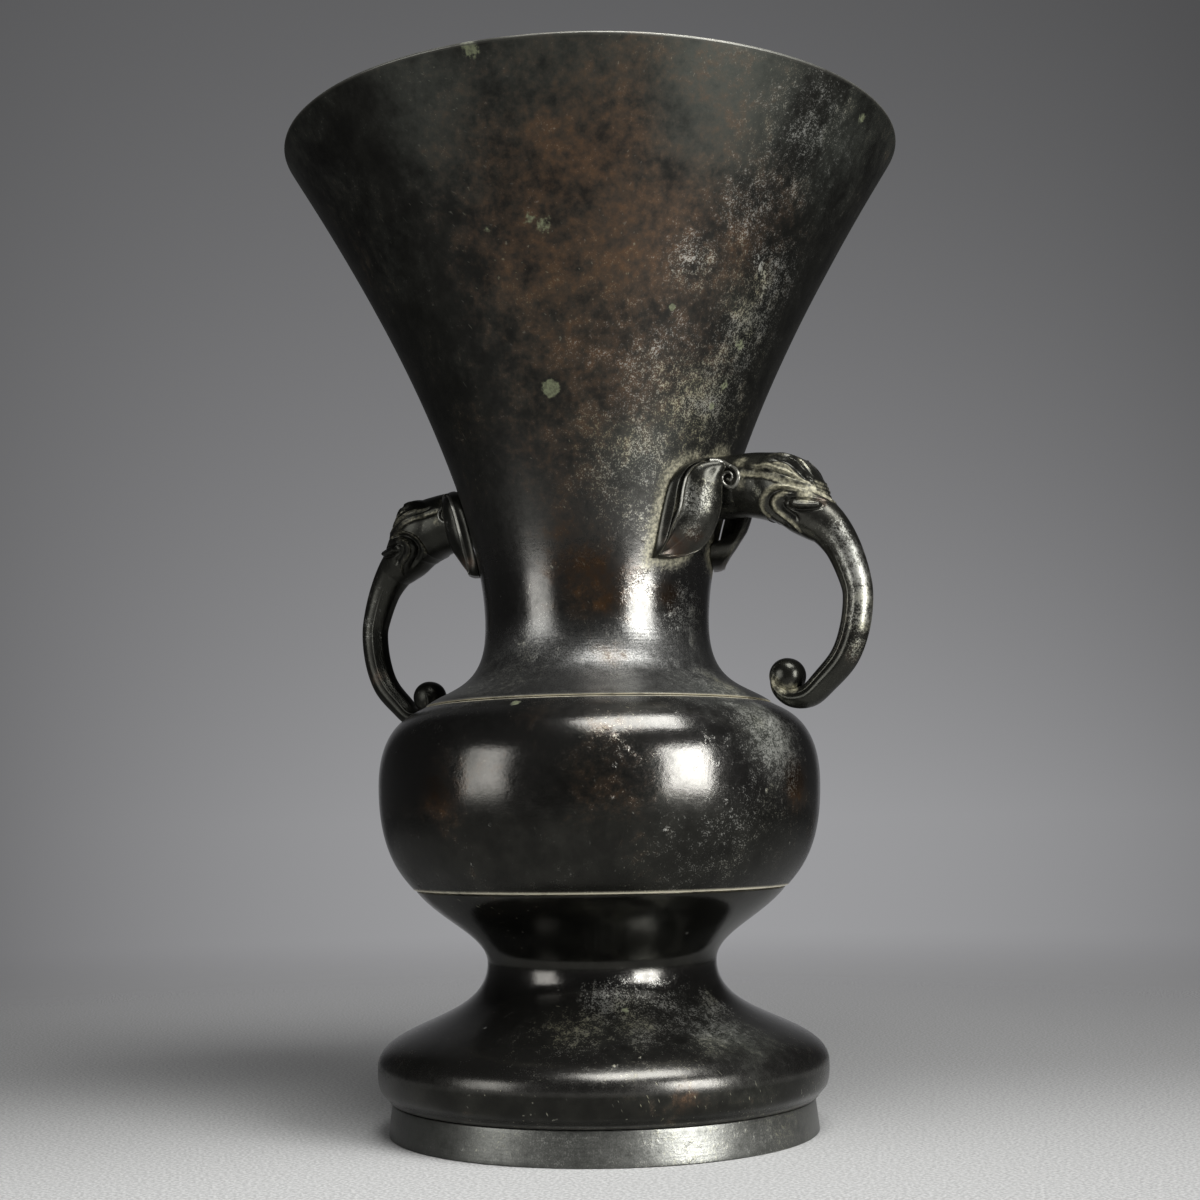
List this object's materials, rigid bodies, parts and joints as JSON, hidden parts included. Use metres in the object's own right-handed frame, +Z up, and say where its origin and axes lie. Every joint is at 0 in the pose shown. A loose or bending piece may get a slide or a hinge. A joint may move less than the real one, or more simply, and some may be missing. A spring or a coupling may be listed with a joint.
{
  "type": "offering vase",
  "caption": "Bronze altar vase with a flared trumpet mouth, round belly, waisted foot and elephant-head handles with curled trunks.",
  "frame": {"origin": "centre of the foot band's underside, on the surface that the vase stands on", "axes": "+Z up along the axis of the vase, the two handles lie along +X and -X"},
  "size_m": [0.1798, 0.1798, 0.28],
  "materials": {
    "body_bronze": "polished dark brown bronze with a mottled reddish-brown and grey-green patina",
    "handle_bronze": "dark bronze, worn smooth, with a pale yellow-green deposit in the recesses",
    "band_bronze": "satin grey-brown bronze, finely turned",
    "inner_bronze": "rough unpolished bronze"
  },
  "bodies": {
    "root": {"trumpet_neck": "body_bronze", "belly": "body_bronze", "pedestal": "body_bronze", "foot_band": "band_bronze", "floor_plate": "inner_bronze", "handle_right": "handle_bronze", "handle_left": "handle_bronze", "ear_right_front": "handle_bronze", "ear_right_back": "handle_bronze", "ear_left_front": "handle_bronze", "ear_left_back": "handle_bronze", "tenon_washer_right": "inner_bronze", "tenon_washer_left": "inner_bronze"}
  },
  "joints": []
}
